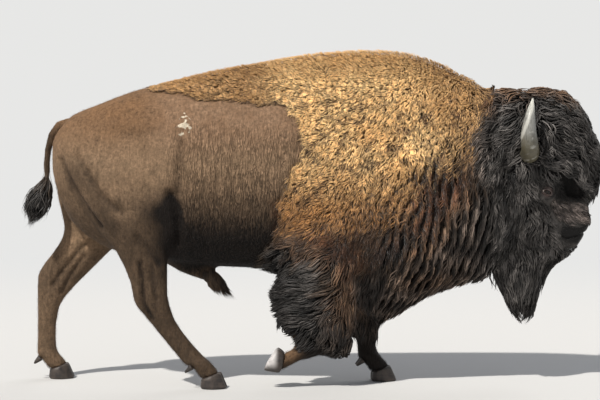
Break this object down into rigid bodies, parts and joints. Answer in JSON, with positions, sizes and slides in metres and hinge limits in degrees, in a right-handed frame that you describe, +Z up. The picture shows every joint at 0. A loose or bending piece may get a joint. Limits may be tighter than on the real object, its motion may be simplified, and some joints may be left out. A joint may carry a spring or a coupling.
{
  "type": "american bison bull, still life-size model",
  "caption": "Life-size American bison bull, walking, with a woolly cape, a dark bearded head, short curved horns and cloven hooves.",
  "frame": {"origin": "middle of the animal's bounding box, on the ground under its hooves", "axes": "+X the way the animal faces, +Y towards its left side, +Z up"},
  "size_m": [3.0775, 0.7292, 1.7822],
  "materials": {
    "cape": "golden brown curly wool",
    "rump": "short flat grey-brown hair",
    "dark_wool": "long blackish-brown wool and hair",
    "shin": "short dark brown hair",
    "horn": "grey horn, worn smooth at the tip",
    "hoof": "dull grey hoof horn",
    "eye": "wet, nearly black brown"
  },
  "bodies": {
    "root": {"horn_right": "horn", "ear_right": "dark_wool", "eye_right": "eye", "hind_right_upper": "rump", "hind_right_lower": "shin", "hind_right_claw_outer": "hoof", "hind_right_dewclaw_outer": "hoof", "hind_right_claw_inner": "hoof", "hind_right_dewclaw_inner": "hoof", "fore_right_upper": "dark_wool", "fore_right_lower": "shin", "fore_right_claw_outer": "hoof", "fore_right_dewclaw_outer": "hoof", "fore_right_claw_inner": "hoof", "fore_right_dewclaw_inner": "hoof", "horn_left": "horn", "ear_left": "dark_wool", "eye_left": "eye", "hind_left_upper": "rump", "hind_left_lower": "shin", "hind_left_claw_outer": "hoof", "hind_left_dewclaw_outer": "hoof", "hind_left_claw_inner": "hoof", "hind_left_dewclaw_inner": "hoof", "fore_left_upper": "dark_wool", "fore_left_lower": "shin", "fore_left_claw_outer": "hoof", "fore_left_dewclaw_outer": "hoof", "fore_left_claw_inner": "hoof", "fore_left_dewclaw_inner": "hoof", "tail_dock": "rump", "tail_tuft": "dark_wool", "head": "dark_wool", "beard": "dark_wool", "sheath": "rump", "neck": "cape", "forequarters": "cape", "hindquarters": "rump"}
  },
  "joints": []
}
